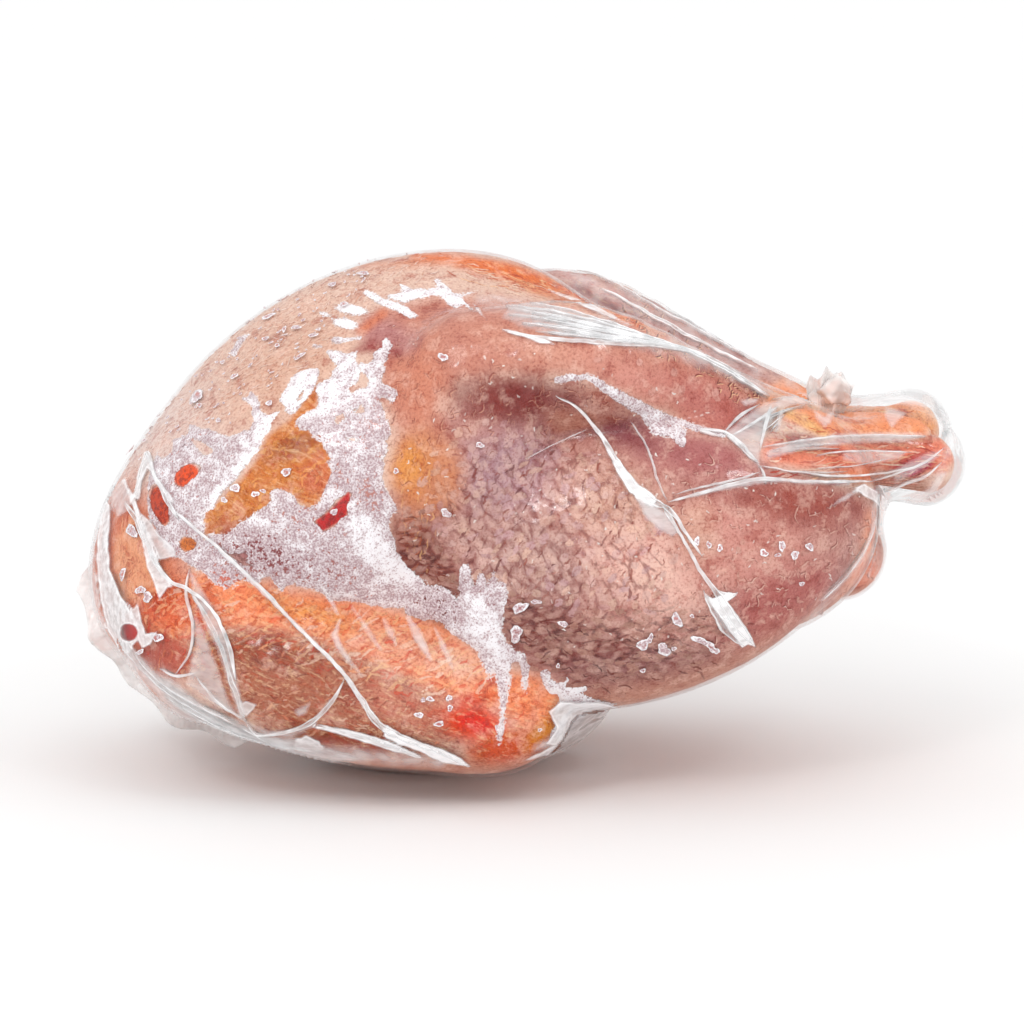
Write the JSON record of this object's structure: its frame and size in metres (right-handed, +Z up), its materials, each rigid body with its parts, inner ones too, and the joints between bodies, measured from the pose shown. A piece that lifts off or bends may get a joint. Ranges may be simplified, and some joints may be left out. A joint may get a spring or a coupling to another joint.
{
  "type": "whole guinea fowl",
  "caption": "Whole frozen guinea fowl lying on its back in a tight clear shrink bag, breast up, wings folded at the sides and drumsticks drawn together at the hocks.",
  "frame": {"origin": "middle of the bounding box in X and Y, on the flat spot of the back that the bird rests on", "axes": "+Z up through the breast, +X from the neck end towards the hocks, -Y towards the bird's right side"},
  "size_m": [0.2418, 0.1296, 0.1424],
  "materials": {
    "bird_skin": "raw frozen poultry skin, mauve-pink to orange, moist under film",
    "clear_film": "clear glossy shrink film, milky where it is gathered",
    "frost": "white ice crystals under the film"
  },
  "bodies": {
    "root": {"bagged_guinea_fowl": "bird_skin"}
  },
  "joints": []
}
